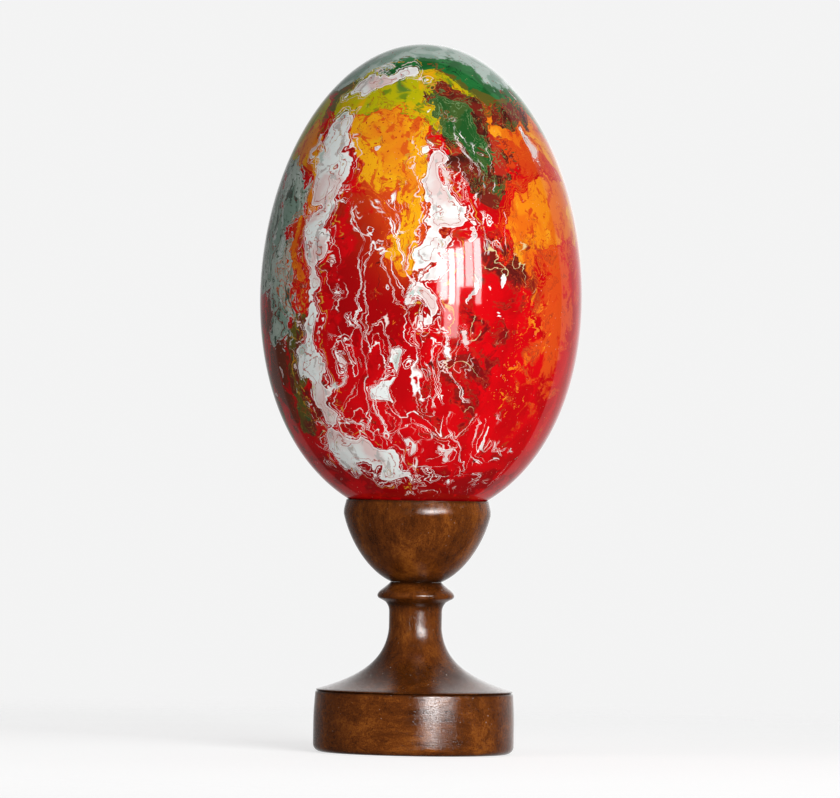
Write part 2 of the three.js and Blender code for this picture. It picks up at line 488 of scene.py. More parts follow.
# broad tints under the strokes, with painted shade among them: across, height, spread across, spread up,
# colour, strength
TINT_STEEPNESS = 1.6
TINTS_AND_SHADE = (
    (22, 152, 10, 8, (0.62, 0.055, 0.006), 0.85),
    # painted shade: darker red on the left
    (-12, 116, 9, 16, (0.33, 0.0008, 0.0020), 0.9),
    (-33, 150, 6, 12, (0.10, 0.13, 0.06), 0.9),
    # painted shade: darker red at the bottom
    (0, 66, 20, 6, (0.30, 0.0015, 0.0030), 0.8),
    (34, 110, 8, 18, (0.72, 0.075, 0.008), 0.75),
    (14, 96, 6, 14, (0.20, 0.003, 0.005), 0.45),
    (-4, 166, 24, 7, (0.060, 0.110, 0.015), 0.95),
    (20, 120, 9, 5, (0.12, 0.010, 0.008), 0.75),
    (-35, 94, 6, 18, (0.12, 0.030, 0.012), 0.85),
    (-6, 132, 7, 8, (0.68, 0.075, 0.008), 0.7),
)
# the pale veil over the crown starts at this height, lower at both sides
VEIL_TOP = 171.5
VEIL_DROP = 9.0
VEIL_STEEPNESS = 1.6

LATTICE = 24
BORE_STEPS = 8
SEAT_STEPS = 24
EGG_ROWS = 190
FRONT_COLUMNS = 240
BACK_COLUMNS = 140


def lattice_noise(points, size, seed):
    """Smooth noise from -1 to 1 at points, with cells of the given size or sizes."""
    table = np.random.default_rng(SEED + seed).uniform(-1, 1, (LATTICE,) * 3)
    q = points / np.asarray(size, float) + 100.0
    cell = np.floor(q).astype(int)
    near = q - cell
    near = near * near * (3 - 2 * near)
    total = np.zeros(len(points))
    for corner in product((0, 1), repeat=3):
        x, y, z = ((cell + corner) % LATTICE).T
        weight = np.where(corner, near, 1 - near).prod(axis=1)
        total += table[x, y, z] * weight
    return total


def azimuth(across, z):
    """Angle round the egg of a place on its front elevation (radians, right is +)."""
    r = np.maximum(egg_radius_at(z), 1.0)
    inside = np.arcsin(np.clip(across / r, -1, 1))
    beyond = np.maximum(np.abs(across) - r, 0) / r
    return inside + np.sign(across) * beyond


def on_egg(angle, z):
    r = egg_radius_at(z)
    return np.stack([r * np.sin(angle), -r * np.cos(angle), z], axis=-1)


def at_place(across, z):
    """The point on the egg behind a place on its front elevation."""
    z = np.asarray(z, float)
    return on_egg(azimuth(np.asarray(across, float), z), z)


def smooth(t):
    t = np.clip(t, 0, 1)
    return t * t * (3 - 2 * t)


class Design:
    """Where each vertex of the egg lies on the marbling design, and how far it is
    from the strokes there."""

    def __init__(self, angle, z):
        place = on_egg(angle, z)
        back = smooth((np.abs(angle) - math.radians(BACK_FROM)) / math.radians(BACK_OVER))
        across = back * (8.0 * np.sin(2 * angle) + 14.0 * lattice_noise(place, 26.0, 1))
        up = back * (9.0 * np.sin(angle) + 15.0 * lattice_noise(place, 32.0, 2))
        for size, reach, seed in DRIFTS:
            across = across + reach * lattice_noise(place, size, seed)
            up = up + reach * UP_MORE * lattice_noise(place, size, seed + 1)
        for fine, long, reach, seed in COMB:
            across = across + reach * lattice_noise(place, (long, long, fine), seed)
            up = up + reach * lattice_noise(place, (fine, fine, long), seed + 1)
        # the drift dies out towards both ends
        taper = np.clip((EGG_TOP - z) / 12.0, 0, 1) * np.clip((z - EGG_LOW) / 6.0, 0, 1)
        self.z = np.clip(z + up * taper, EGG_LOW + 0.2, EGG_TOP - 0.2)
        r = np.maximum(egg_radius_at(z), 4.0)
        self.place = on_egg(self.folded(angle, z) + across / r, self.z)
        self.true_angle = angle
        self.swell = SWELL_REACH * lattice_noise(self.place, SWELL_CELL, 31)
        self.swell = self.swell + BACK_SWELL * back * lattice_noise(place, BACK_SWELL_CELL, 33)
        self.swell = self.swell + BACK_THIN * back * np.maximum(-np.sin(angle), 0)

    def folded(self, angle, z):
        """The angle, turned back towards the front behind a line that sways."""
        side = np.where(angle < 0, -1.0, 1.0)
        line = np.stack([side * 50.0, np.zeros(len(z)), z], axis=-1)
        fold = math.pi / 2 + math.radians(FOLD_SWAY) * lattice_noise(line, FOLD_CELL, 41)
        beyond = side * fold * (math.pi - np.abs(angle)) / (math.pi - fold)
        return np.where(np.abs(angle) > fold, beyond, angle)

    def strokes(self, table):
        """Distance to the nearest stroke, negative inside it."""
        field = np.full(len(self.z), STROKE_MARGIN)
        for x0, z0, w0, x1, z1, w1 in table:
            start, end = at_place([x0, x1], [z0, z1])
            way = end - start
            along = np.clip((self.place - start) @ way / (way @ way), 0, 1)
            gap = np.linalg.norm(self.place - start - along[:, None] * way, axis=1)
            field = np.minimum(field, gap - (w0 + (w1 - w0) * along))
        return np.clip(field + self.swell, -STROKE_MARGIN, STROKE_MARGIN)

    def veil(self):
        """Signed distance to the level that dips at both sides, negative above it."""
        level = VEIL_TOP - VEIL_DROP * np.sin(self.true_angle) ** 4
        return np.clip((level - self.z) * VEIL_STEEPNESS, -STROKE_MARGIN, STROKE_MARGIN)

    def spread(self, across, height, wide, tall):
        """Squared distance from a zone's centre, in spreads."""
        gap = self.place - at_place(across, height)
        return (gap[:, 0] ** 2 + gap[:, 1] ** 2) / wide**2 + (gap[:, 2] / tall) ** 2

    def zones(self, table):
        """How strongly a zone is felt at each vertex, from 0 to 1."""
        felt = np.zeros(len(self.z))
        for across, height, wide, tall, strength in table:
            gap = self.spread(across, height, wide, tall)
            felt = np.maximum(felt, strength * np.exp(-0.5 * gap))
        return felt

    def tints(self):
        """Each vertex's tint and painted shade, one laid over another, with its weight as alpha."""
        colour = np.zeros((len(self.z), 4))
        for across, height, wide, tall, shade, strength in TINTS_AND_SHADE:
            gap = self.spread(across, height, wide, tall)
            weight = strength * np.exp(-0.5 * gap * TINT_STEEPNESS)
            under = colour[:, 3] * (1 - weight)
            alpha = weight + under
            mixed = np.array(shade)[None] * weight[:, None] + colour[:, :3] * under[:, None]
            colour[:, :3] = mixed / np.maximum(alpha, 1e-6)[:, None]
            colour[:, 3] = alpha
        return colour


def store(mesh, name, values):
    if values.ndim == 1:
        layer = mesh.attributes.new(name, "FLOAT", "POINT")
        layer.data.foreach_set("value", values.astype(np.float32))
    else:
        layer = mesh.attributes.new(name, "FLOAT_COLOR", "POINT")
        layer.data.foreach_set("color", values.astype(np.float32).ravel())


# ---- marbled lacquer ----
# Colours are linear RGB.

RED = (0.64, 0.0012, 0.0040)
RED_DEEP = (0.47, 0.0010, 0.0030)
PALE = (0.90, 0.88, 0.86)
PINK = (0.84, 0.66, 0.62)
GREY_EDGE = (0.62, 0.66, 0.62)
BROWN_LINE = (0.34, 0.03, 0.012)
ORANGE_LINE = (0.66, 0.10, 0.008)
OCHRE_LINE = (0.70, 0.58, 0.30)
DARK_LINE = (0.13, 0.008, 0.006)
LACE_HOLE = (0.42, 0.02, 0.015)
SMOKE_TONES = ((0.10, 0.008, 0.006), (0.22, 0.010, 0.007))
FLAKE_TONES = ((0.78, 0.13, 0.008), (0.85, 0.30, 0.012))
CRUMB_TONES = ((0.74, 0.10, 0.010), (0.80, 0.22, 0.02))
SPATTER = (0.85, 0.50, 0.36)


class Pour(NamedTuple):
    """The look of one poured colour. Levels are of a field from 0 to 1, depths in mm."""

    pair: tuple
    # the field that mixes the pair, and the levels where it starts and ends
    by: tuple = ("flow", 0.44, 0.56)
    # tones laid over the pair in turn: field, start, end, colour
    accents: tuple = ()
    # thin lines along a level of a field: field, level, width, colour
    veins: tuple = ()
    # how far fine and ragged noise carry the outline
    edge: tuple = (2.0, 6.0)
    soft: float = 0.10
    # a rim inside the outline, an echo line outside it, and lines that follow it inside
    rim: tuple = None
    rim_width: float = 0.35
    echo: tuple = None
    echo_at: float = 0.8
    inner: tuple = None
    depths: tuple = (0.9, 2.1, 3.6)


POURS = {
    "olive": Pour(
        pair=((0.105, 0.095, 0.015), (0.15, 0.022, 0.012)),
        accents=(("flow_fine", 0.56, 0.64, (0.05, 0.09, 0.03)),),
        edge=(2.0, 9.0),
        soft=0.3,
        inner=(0.32, 0.20, 0.03),
        depths=(0.6, 1.8, 3.0, 4.5),
    ),
    "grey_green": Pour(
        pair=((0.25, 0.36, 0.29), (0.47, 0.55, 0.48)),
        accents=(
            ("flow_fine", 0.58, 0.64, (0.62, 0.67, 0.63)),
            ("flow_fine", 0.42, 0.37, (0.06, 0.09, 0.065)),
        ),
        veins=(("flow", 0.47, 0.010, (0.20, 0.02, 0.015)),),
        edge=(2.0, 9.0),
        rim=GREY_EDGE,
        rim_width=0.1,
        echo=GREY_EDGE,
        inner=(0.05, 0.085, 0.04),
        depths=(0.8, 2.0, 3.4, 5.2, 7.0),
    ),
    "yellow_green": Pour(
        pair=((0.46, 0.42, 0.002), (0.76, 0.38, 0.004)),
        by=("flow", 0.50, 0.72),
        accents=(
            ("flow_fine", 0.54, 0.66, (0.16, 0.24, 0.008)),
            ("flow", 0.38, 0.30, (0.10, 0.20, 0.02)),
        ),
        echo=(0.30, 0.30, 0.01),
        inner=(0.14, 0.19, 0.008),
    ),
    "deep_green": Pour(
        pair=((0.010, 0.105, 0.020), (0.016, 0.165, 0.035)),
        edge=(2.0, 5.0),
        inner=(0.006, 0.055, 0.014),
        depths=(0.7, 1.6, 2.8),
    ),
    "gold": Pour(
        pair=((0.84, 0.38, 0.006), (0.78, 0.22, 0.008)),
        by=("cloud", 0.44, 0.60),
        accents=(
            ("flow_fine", 0.54, 0.62, (0.66, 0.10, 0.008)),
            ("flow", 0.40, 0.30, (0.62, 0.46, 0.008)),
            ("speck", 0.64, 0.68, (0.42, 0.01, 0.006)),
        ),
        rim=(0.66, 0.07, 0.008),
        rim_width=0.25,
        echo=(0.70, 0.10, 0.008),
        inner=(0.60, 0.07, 0.006),
        depths=(1.0, 1.9, 3.2),
    ),
    "orange": Pour(
        pair=((0.80, 0.23, 0.006), (0.74, 0.14, 0.006)),
        by=("cloud", 0.44, 0.56),
        accents=(
            ("flow_fine", 0.55, 0.63, (0.62, 0.06, 0.006)),
            ("flow", 0.42, 0.34, (0.84, 0.32, 0.012)),
        ),
        edge=(2.5, 9.0),
        rim=(0.62, 0.05, 0.008),
        rim_width=0.2,
        echo=(0.72, 0.12, 0.008),
        inner=(0.58, 0.035, 0.006),
        depths=(0.8, 1.5, 2.6, 4.0),
    ),
    "maroon": Pour(
        pair=((0.050, 0.010, 0.006), (0.16, 0.014, 0.008)),
        accents=(
            ("flow_fine", 0.57, 0.62, (0.05, 0.085, 0.02)),
            ("flow", 0.42, 0.36, (0.42, 0.02, 0.01)),
        ),
        veins=(("flow_fine", 0.49, 0.012, (0.16, 0.19, 0.06)),),
        edge=(2.5, 8.0),
        echo=(0.30, 0.02, 0.008),
        inner=(0.42, 0.05, 0.012),
        depths=(0.7, 1.7, 3.0, 4.6, 6.2),
    ),
    "forest": Pour(
        pair=((0.014, 0.085, 0.016), (0.05, 0.10, 0.02)),
        edge=(2.0, 7.0),
        rim=(0.12, 0.20, 0.06),
        rim_width=0.05,
        echo=(0.10, 0.16, 0.05),
        inner=(0.16, 0.26, 0.10),
        depths=(0.7, 1.5, 2.6),
    ),
    "white": Pour(
        pair=((0.80, 0.84, 0.82), (0.72, 0.55, 0.53)),
        by=("cloud", 0.42, 0.58),
        accents=(
            ("flow_fine", 0.56, 0.64, (0.50, 0.46, 0.44)),
            ("flow", 0.60, 0.66, (0.48, 0.57, 0.52)),
        ),
        edge=(1.0, 9.5),
        rim=PALE,
        rim_width=0.30,
        echo=PALE,
        echo_at=0.75,
    ),
    "veil": Pour(
        pair=((0.24, 0.36, 0.29), (0.46, 0.56, 0.50)),
        accents=(("speck", 0.64, 0.70, (0.25, 0.05, 0.03)),),
        edge=(3.0, 6.0),
        soft=0.5,
    ),
}

# lines that follow a pour's outline, outside it where the distance is positive:
# distance, width, the field that breaks the line, where it starts and ends, colour
ORANGE_LINES = tuple((gap, 0.22, None, 0, 0, ORANGE_LINE) for gap in (1.7, 2.6, 3.8))
WHITE_LINES = (
    (1.9, 0.22, "flow", 0.45, 0.55, PINK),
    (-1.6, 0.16, None, 0, 0, (0.45, 0.10, 0.07)),
    (-2.7, 0.20, "flow", 0.46, 0.54, (0.52, 0.36, 0.20)),
    (2.9, 0.25, "flow_fine", 0.46, 0.54, (0.62, 0.30, 0.03)),
    (0.32, 0.14, None, 0, 0, (0.24, 0.006, 0.005)),
)


class Paint:
    """Lays coats of colour one over another on the egg."""

    def __init__(self, nodes):
        self.n = nodes
        self.p = nodes.millimetres()
        self.mixed = {}
        n = nodes
        # calm draws smooth lines, and jag tears them
        self.calm = self.drifted(self.drifted(self.p, 0.065, 11.0), 0.20, 2.6)
        self.calm = self.drifted(self.calm, 0.75, 1.25, (0.28, 0.28, 1.7))
        self.jag = self.drifted(self.calm, 0.45, 1.8, (0.7, 0.7, 1.3))
        ragged_at = n.vector("ADD", self.calm, (31, 7, 3))
        self.fine = n.math("SUBTRACT", n.noise(self.jag, 0.85, 2, 0.5), 0.5)
        self.ragged = n.math("SUBTRACT", n.noise(ragged_at, 0.22, 2, 0.45), 0.5)
        self.speck = n.noise(n.vector("ADD", self.p, (5, 41, 17)), 1.5, 2, 0.55)
        self.flow = self.field(0.17, (0, 0, 0), detail=2.5)
        self.flow_fine = self.field(0.46, (9, 2, 4), detail=2.5, warp=0.5)
        self.cloud = n.noise(n.vector("ADD", self.calm, (3, 9, 27)), 0.085, 3, 0.55)
        self.colour = n.mix(n.step(self.flow, 0.35, 0.7), RED, RED_DEEP)

    def drifted(self, at, scale, reach, stretch=(1, 1, 1)):
        """The place moved by a smooth random drift of the given reach."""
        n = self.n
        where = n.vector("MULTIPLY", at, stretch) if stretch != (1, 1, 1) else at
        drift = n.vector("SUBTRACT", n.noise(where, scale, 2, 0.5, colour=True), (0.5, 0.5, 0.5))
        return n.vector("ADD", at, n.vector("SCALE", drift, scale=reach))

    def field(self, scale, offset, stretch=0.42, detail=1.5, warp=0.7):
        """A smooth drifting field drawn out along the height."""
        at = self.n.vector("ADD", self.calm, offset)
        at = self.n.vector("MULTIPLY", at, (1.0, 1.0, stretch))
        return self.n.noise(at, scale, detail, 0.45, warp)

    def lay(self, mask, colour, strength=1.0):
        if strength != 1.0:
            mask = self.n.math("MULTIPLY", mask, strength)
        self.colour = self.n.mix(mask, self.colour, colour)

    def two_tone(self, a, b):
        return self.n.mix(self.n.step(self.flow, 0.44, 0.56), a, b)

    def thread(self, value, at, width):
        """A thin line where a smooth field passes a value."""
        n = self.n
        inner = n.math("MULTIPLY", width, 0.25)
        return n.step(n.math("ABSOLUTE", n.math("SUBTRACT", value, at)), width, inner)

    def tones(self, name):
        """The mixed tones inside a pour."""
        if name in self.mixed:
            return self.mixed[name]
        n = self.n
        pour = POURS[name]
        by, low, high = pour.by
        colour = n.mix(n.step(getattr(self, by), low, high), *pour.pair)
        for field, low, high, accent in pour.accents:
            colour = n.mix(n.step(getattr(self, field), low, high), colour, accent)
        for field, level, width, line in pour.veins:
            colour = n.mix(self.thread(getattr(self, field), level, width), colour, line)
        self.mixed[name] = colour
        return colour

    def patch(self, name):
        """A pour with a drifting outline. Returns the distance to the outline."""
        n = self.n
        pour = POURS[name]
        colour = self.tones(name)
        fine, ragged = pour.edge
        gap = n.math("MULTIPLY_ADD", self.fine, fine, n.attribute(name))
        gap = n.math("MULTIPLY_ADD", self.ragged, ragged, gap)
        if pour.inner is not None:
            some = n.step(self.flow_fine, 0.44, 0.56, 0.15, 1.0)
            for depth in pour.depths:
                line = n.math("MULTIPLY", self.thread(gap, -depth, 0.16), some)
                colour = n.mix(line, colour, pour.inner)
        if pour.rim is not None:
            rim = n.step(gap, -pour.rim_width - 0.25, -pour.rim_width + 0.05)
            colour = n.mix(rim, colour, pour.rim)
        if pour.echo is not None:
            line = self.thread(gap, pour.echo_at, 0.20)
            self.lay(n.math("MULTIPLY", line, n.step(self.flow_fine, 0.42, 0.52)), pour.echo)
        self.lay(n.step(gap, pour.soft, -pour.soft), colour)
        return gap

    def lines(self, gap, table, strength=1.0):
        """Lines that follow a pour's outline, broken up where a field is low."""
        n = self.n
        for at, width, field, low, high, colour in table:
            line = self.thread(gap, at, width)
            if field is not None:
                line = n.math("MULTIPLY", line, n.step(getattr(self, field), low, high))
            self.lay(line, colour, strength)

    def flakes(self, at, offset, scale, detail, rough, warp, more, cut, tones, strength):
        """Small torn flakes, denser where the speckle is strong."""
        n = self.n
        at = n.vector("MULTIPLY", n.vector("ADD", at, offset), (1, 1, 0.6))
        need = n.math("MULTIPLY_ADD", n.attribute("speckle"), -more, cut)
        over = n.math("SUBTRACT", n.noise(at, scale, detail, rough, warp), need)
        self.lay(n.step(over, 0.0, 0.02), self.two_tone(*tones), strength)

    def lace(self, colour, scale, offset, most=0.18, cut=0.735, holes=None):
        """Pale tongues and islands with fine outlines, where the lace is strong."""
        n = self.n
        felt = n.attribute("lace")
        need = n.math("MULTIPLY_ADD", felt, -most, cut)
        over = n.math("SUBTRACT", self.field(scale, offset, detail=2.2), need)
        shown = n.step(felt, 0.15, 0.4)
        for gap in (-0.040, -0.018):
            self.lay(n.math("MULTIPLY", self.thread(over, gap, 0.0035), shown), PALE)
        body = n.mix(n.step(over, 0.006, 0.012), PALE, colour)
        self.lay(n.step(over, 0.0, 0.003), body)
        if holes is not None:
            self.lay(self.thread(over, 0.040, 0.004), holes)

    def threads(self, zone, colour, scale, offset, levels, width, need=0.45, stretch=0.36):
        """Thin nested lines along the levels of a field, where the zone is strong."""
        n = self.n
        field = self.field(scale, offset, stretch)
        felt = n.math("ADD", n.attribute(zone), n.math("MULTIPLY", self.ragged, 1.4))
        shown = n.step(felt, need - 0.1, need + 0.1)
        swell = n.math("MULTIPLY", n.step(self.flow_fine, 0.30, 0.70, 0.35, 1.7), width)
        for level in levels:
            self.lay(n.math("MULTIPLY", self.thread(field, level, swell), shown), colour)


def lay_ground(paint):
    """Broad tints and painted shade on the red, then orange flakes and crumbs drifting over them."""
    n = paint.n
    torn = n.math("MULTIPLY_ADD", paint.ragged, 1.6, n.math("MULTIPLY", paint.fine, 0.9))
    broken = n.step(n.math("ADD", n.attribute("tint", "Alpha"), torn), 0.18, 0.50)
    # tints with painted shade: darker red on the left and at the bottom
    paint.lay(broken, n.attribute("tint", "Color"), 0.92)
    paint.flakes(paint.calm, (2, 3, 5), 0.30, 4, 0.62, 0.8, 0.20, 0.74, FLAKE_TONES, 0.9)
    paint.flakes(paint.jag, (8, 1, 6), 0.75, 3, 0.60, 0.9, 0.16, 0.73, CRUMB_TONES, 0.85)


def lay_colours(paint):
    """The poured colours under the white, from the sides to the crown."""
    for name in ("olive", "grey_green", "yellow_green", "deep_green", "gold"):
        paint.patch(name)
    orange = paint.patch("orange")
    paint.lines(orange, ORANGE_LINES, 0.8)
    paint.patch("maroon")
    paint.patch("forest")


def lay_smoke(paint):
    """Dark torn smoke with thin brown lines in and round it."""
    n = paint.n
    smoke = n.math("MULTIPLY_ADD", paint.ragged, 2.2, n.attribute("smoke"))
    smoke = n.math("MULTIPLY_ADD", paint.fine, 0.8, smoke)
    paint.lay(n.step(smoke, 0.55, 0.85), paint.two_tone(*SMOKE_TONES), 0.8)
    for level in (0.42, 0.50, 0.95, 1.15):
        paint.lay(paint.thread(smoke, level, 0.03), BROWN_LINE, 0.75)


def lay_white(paint):
    """Threads, islands and ribbons of white, and the lines along the ribbons."""
    white = paint.tones("white")
    paint.threads("threads", PINK, 0.11, (17, 5, 29), (0.46, 0.475, 0.57), 0.004, stretch=0.26)
    paint.threads("threads", PALE, 0.085, (51, 23, 7), (0.46, 0.475, 0.56), 0.0045, stretch=0.24)
    paint.lace(white, 0.125, (3, 47, 11), holes=LACE_HOLE)
    ribbon = paint.patch("white")
    paint.lines(ribbon, WHITE_LINES)
    paint.lace(white, 0.21, (29, 3, 41), 0.14, 0.745)


def lay_last(paint):
    """The veil over the crown, a few late threads, and fine spatter over everything."""
    n = paint.n
    paint.patch("veil")
    paint.threads("smoke", OCHRE_LINE, 0.10, (9, 61, 19), (0.50,), 0.006, 0.50, 0.6)
    paint.threads("threads", DARK_LINE, 0.16, (33, 12, 55), (0.53,), 0.007, 0.65)
    spatter = n.noise(n.vector("ADD", paint.p, (71, 13, 29)), 1.9, 1, 0.5)
    paint.lay(n.step(spatter, 0.755, 0.785), SPATTER, 0.6)


def marbled_lacquer():
    made, n, shader = material("marbled_lacquer")
    paint = Paint(n)
    for lay in (lay_ground, lay_colours, lay_smoke, lay_white, lay_last):
        lay(paint)
    n.put(shader.inputs["Base Color"], paint.colour)
    n.put(shader.inputs["Roughness"], n.step(paint.flow, 0.2, 0.8, 0.42, 0.30))
    coat(shader, 1.0, 0.05, 1.5, specular=0.0)
    swell = n.noise(n.vector("ADD", paint.p, (1, 2, 3)), 0.10, 2, 0.5)
    peel = n.noise(n.vector("ADD", paint.p, (6, 5, 4)), 1.3, 2, 0.6)
    skin = n.math("MULTIPLY_ADD", peel, 0.05, swell)
    n.put(shader.inputs["Coat Normal"], n.bump(skin, 0.10 * MM, 0.35))
    return made


# ---- pieces ----


def even_angles(count):
    return [2 * math.pi * i / count for i in range(count)]


def egg_outline():
    """The bore from its end to its mouth, then the egg at even steps along its outline."""
    mouth = solve(lambda a: float(egg_profile(a)[0]), BORE_R + BORE_CHAMFER, 0.0, 1.0)
    samples = np.linspace(mouth, math.pi, 4000)
    r, z = egg_profile(samples)
    length = np.concatenate([[0], np.cumsum(np.hypot(np.diff(r), np.diff(z)))])
    rows = np.interp(np.linspace(0, length[-1], EGG_ROWS), length, samples)
    bore = [[0, BORE_END + BORE_CONE], [BORE_R * 0.5, BORE_END + BORE_CONE * 0.5], [BORE_R, BORE_END]]
    fall = float(egg_profile(mouth)[1]) + 0.55 - BORE_END
    bore += [[BORE_R, BORE_END + fall * k / BORE_STEPS] for k in range(1, BORE_STEPS + 1)]
    outline = bore + [[float(v) for v in egg_profile(a)] for a in rows]
    outline[-1][0] = 0.0
    zone = [1 if k < len(bore) - 1 else 0 for k in range(len(outline) - 1)]
    return outline, zone


def make_egg(paint, bare):
    outline, zone = egg_outline()
    front = np.linspace(-math.pi / 2, math.pi / 2, FRONT_COLUMNS, endpoint=False)
    back = np.linspace(math.pi / 2, 3 * math.pi / 2, BACK_COLUMNS, endpoint=False)
    egg = spun("marbled_egg", outline, np.concatenate([front, back]).tolist(), [paint, bare], zone)
    mesh = egg.data
    place = np.empty(len(mesh.vertices) * 3)
    mesh.vertices.foreach_get("co", place)
    x, y, z = place.reshape(-1, 3).T / MM
    design = Design(np.arctan2(x, -y), z)
    for name, table in STROKES.items():
        store(mesh, name, design.strokes(table))
    for name, table in ZONES.items():
        store(mesh, name, design.zones(table))
    store(mesh, "veil", design.veil())
    store(mesh, "tint", design.tints())
    return egg


def make_base(wood, bare):
    """The drum, with a turned hollow and a flat ring under it and a mortise on top."""
    top = BASE_TOP
    outline = [[0, BASE_HOLLOW]]
    outline += [[r, BASE_HOLLOW - 0.03 * math.sin(r * 1.7)] for r in (2, 4, 6, 8, 10, 12)]
    outline += [[13.6, BASE_HOLLOW], [14.2, BASE_HOLLOW - 0.1], [15.2, 0.02], [15.8, 0.0], [22.6, 0.0]]
    # the bare underside ends inside the flat ring
    under = 10
    outline += arc(BASE_LOW_R - BASE_FOOT_ROUND, BASE_FOOT_ROUND, BASE_FOOT_ROUND, -90, 0, 9)
    outline += [[BASE_LOW_R, 4], [BASE_LOW_R, 7], [BASE_LOW_R - 0.02, 9], [BASE_LOW_R - 0.12, 11]]
    outline += [[BASE_TOP_R + 0.12, 13.4], [BASE_TOP_R + 0.04, top - 0.45]]
    outline += arc(BASE_TOP_R - 0.36, top - BASE_ARRIS, BASE_ARRIS, 0, 90, 5)
    outline += [[22, top], [12, top], [MORTISE_R, top], [MORTISE_R, 9]]
    outline += [[MORTISE_R, MORTISE_FLOOR], [0, MORTISE_FLOOR]]
    zone = [1 if k < under else 0 for k in range(len(outline) - 1)]
    return spun("base_drum", outline, even_angles(TURNED_STEPS), [wood, bare], zone)


def make_pedestal(wood):
    """Foot tenon, flared foot, straight neck, collar and top tenon, turned in one."""
    neck_low = [NECK_R, 30.8]
    neck_high = [NECK_R, 34.8]
    cove_top = [7.5, 37.3]
    flare = [FLARE_R, FLARE_Z + 0.32]
    tenon_r = FOOT_TENON_R
    outline = [[0, TENON_LOW], [tenon_r - TENON_CHAMFER, TENON_LOW], [tenon_r, TENON_LOW + TENON_CHAMFER]]
    outline += [[tenon_r, FOOT_Z], [FLARE_R + 0.02, FOOT_Z]]
    outline += [[FLARE_R + 0.2, FLARE_Z - 0.12], [FLARE_R + 0.38, FLARE_Z + 0.04]]
    outline += [[FLARE_R + 0.3, FLARE_Z + 0.2], flare]
    outline += cubic(flare, [11.78, 19.09], [7.2, 23.9], neck_low, 40)
    outline += [[NECK_R - 0.01, 32], [NECK_R - 0.01, 33.4], neck_high]
    outline += cubic(neck_high, [NECK_R, 36.0], [6.9, 36.6], cove_top, 10)
    outline += [[8.4, 37.8], [9.1, 38.15], [9.3, 38.3], [9.42, 38.5]]
    outline += cubic([9.42, 38.5], [9.5, 38.6], [9.54, 38.75], COLLAR, 3)
    outline += cubic(COLLAR, [9.45, 40.1], [7.6, 40.8], [GROOVE_R, GROOVE_Z], 14)
    outline += [[TOP_TENON_R, GROOVE_Z], [TOP_TENON_R, TENON_HIGH - TENON_CHAMFER]]
    outline += [[TOP_TENON_R - TENON_CHAMFER, TENON_HIGH], [0, TENON_HIGH]]
    return spun("turned_pedestal", outline, even_angles(TURNED_STEPS), [wood])


def seat_outline():
    """The seat follows the egg: close at the rim, easing to a wider gap at the hole."""
    rim = solve(lambda a: off_egg(a, SEAT_GAP_RIM)[1], RIM_Z, 0.05, 1.2)
    hole = solve(lambda a: off_egg(a, SEAT_GAP_HOLE)[0], BORE_R + 0.3, 0.0, rim)
    outline = []
    for k in range(SEAT_STEPS + 1):
        part = k / SEAT_STEPS
        gap = SEAT_GAP_RIM + (SEAT_GAP_HOLE - SEAT_GAP_RIM) * part
        r, z = off_egg(rim + (hole - rim) * part, gap)
        outline.append([r, min(z, RIM_Z)])
    return outline


def make_cup(wood, seat):
    outline = [[BORE_R, CUP_LOW], [GROOVE_R - 0.1, CUP_LOW], [GROOVE_R + 0.05, CUP_LOW + 0.05]]
    outline += cubic(outline[-1], [12.1, 44.9], [16.7, 52.3], CUP_WIDEST, 36)
    outline += cubic(CUP_WIDEST, [18.32, 60.1], [17.84, RIM_Z - 1.1], [17.64, RIM_Z - 0.16], 8)
    outside = len(outline)
    outline += [[17.56, RIM_Z - 0.03]]
    outline += seat_outline()
    mouth = outline[-1][1]
    outline += [[BORE_R + 0.05, mouth - 0.25], [BORE_R, mouth - 0.6], [BORE_R, 50.0]]
    zone = [0 if k <= outside else 1 for k in range(len(outline))]
    return spun("turned_cup", outline, even_angles(TURNED_STEPS), [wood, seat], zone, closed=True)


def make_peg(bare):
    """A fluted dowel with chamfered ends."""

    def groove(a, r):
        depth = FLUTE_DEPTH * (0.5 - 0.5 * math.cos(a * PEG_FLUTES))
        return -depth * min(1.0, r / PEG_R)

    rise = PEG_HIGH - PEG_LOW
    outline = [[0, PEG_LOW], [PEG_R - 0.8, PEG_LOW], [PEG_R - 0.1, PEG_LOW + 0.7], [PEG_R, PEG_LOW + 0.95]]
    outline += [[PEG_R, PEG_LOW + rise * k / 6] for k in range(1, 6)]
    outline += [[PEG_R, PEG_HIGH - 0.95], [PEG_R - 0.1, PEG_HIGH - 0.7]]
    outline += [[PEG_R - 0.8, PEG_HIGH], [0, PEG_HIGH]]
    return spun("dowel_peg", outline, even_angles(PEG_FLUTES * 6), [bare], ripple=groove)


# ---- set ----

# camera, in metres, with its lens in millimetres
EYE_HEIGHT = 0.069
AIM_HEIGHT = 0.0876
AIM_ACROSS = 0.0005
CAMERA_DISTANCE = 1.734
LENS = 300.0
ROLL = math.radians(1.0)
# lamps, in metres; azimuth from, to, elevation from, to (degrees), radiance
BACKGROUND = 0.90
WINDOW_DISTANCE = 1.5
EGG_MIDDLE = EGG_CENTRE * MM
WINDOW_PANES = (
    (11.0, 13.4, 2.0, 14.5, 10.0),
    (13.4, 18.6, 0.0, 15.5, 22.0),
    (19.3, 23.6, -1.5, 15.8, 28.0),
    (24.4, 30.0, 4.0, 16.0, 23.0),
    (24.4, 27.0, -1.5, 4.0, 15.0),
    (16.5, 26.5, -12.5, -1.5, 7.0),
    (31.2, 37.0, 4.2, 17.5, 16.0),
    (37.8, 43.5, 3.8, 18.2, 20.0),
    (38.5, 43.0, -1.0, 3.8, 11.0),
)
